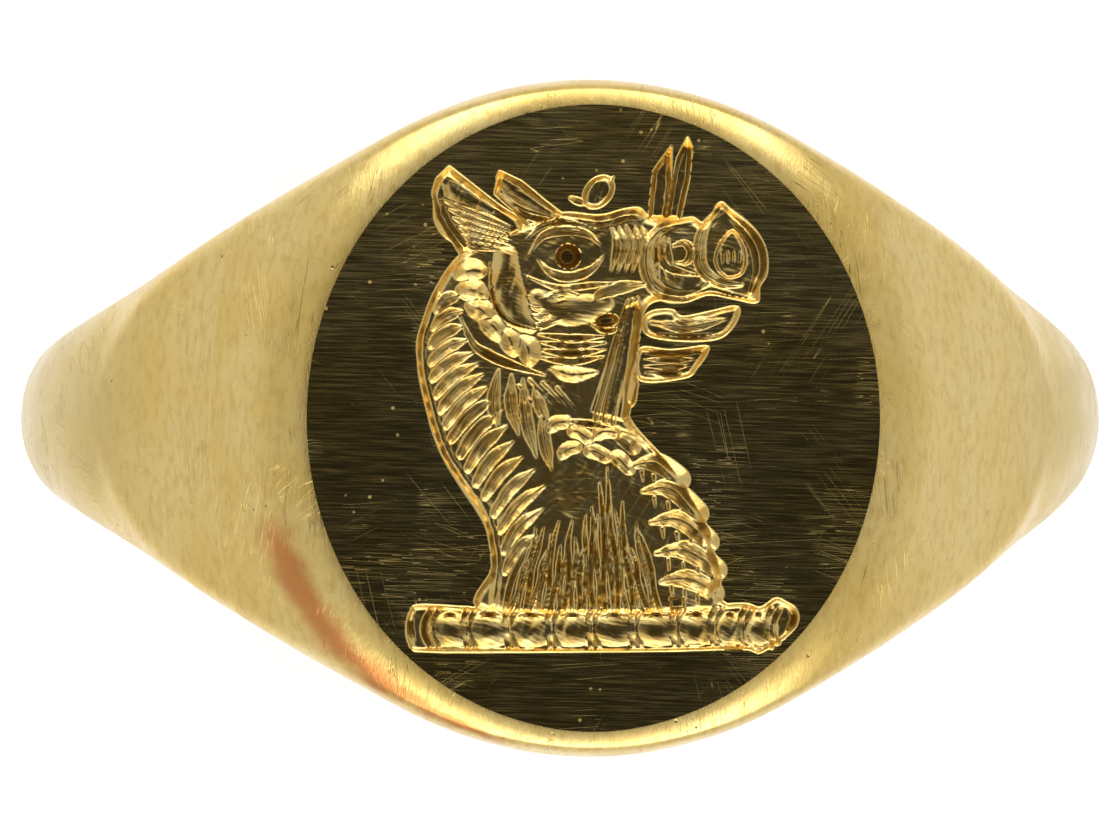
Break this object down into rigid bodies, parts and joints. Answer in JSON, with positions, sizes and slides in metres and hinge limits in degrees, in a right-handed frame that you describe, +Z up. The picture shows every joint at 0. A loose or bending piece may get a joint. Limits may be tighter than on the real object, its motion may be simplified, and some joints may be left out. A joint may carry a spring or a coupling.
{
  "type": "signet ring",
  "caption": "Gold signet ring with a flat oval table engraved with an animal's head, tapering shoulders soldered to the head, and a domed shank round a finger bore.",
  "frame": {"origin": "middle of the finger bore, on its axis", "axes": "+Y along the finger, +Z up through the middle of the engraved table, +X along the band to the right as the table is read"},
  "size_m": [0.0222, 0.0132, 0.0225],
  "materials": {
    "table_gold": "polished, with fine brushed scratches and an engraved crest",
    "gold": "polished yellow gold, worn to a fine satin",
    "solder": "gold solder, filed flush"
  },
  "bodies": {
    "root": {"table_plate": "table_gold", "table_seam": "solder", "head_body": "gold", "left_shoulder_seam": "solder", "right_shoulder_seam": "solder", "left_shoulder": "gold", "right_shoulder": "gold", "left_shank_seam": "solder", "right_shank_seam": "solder", "shank_back": "gold"}
  },
  "joints": []
}
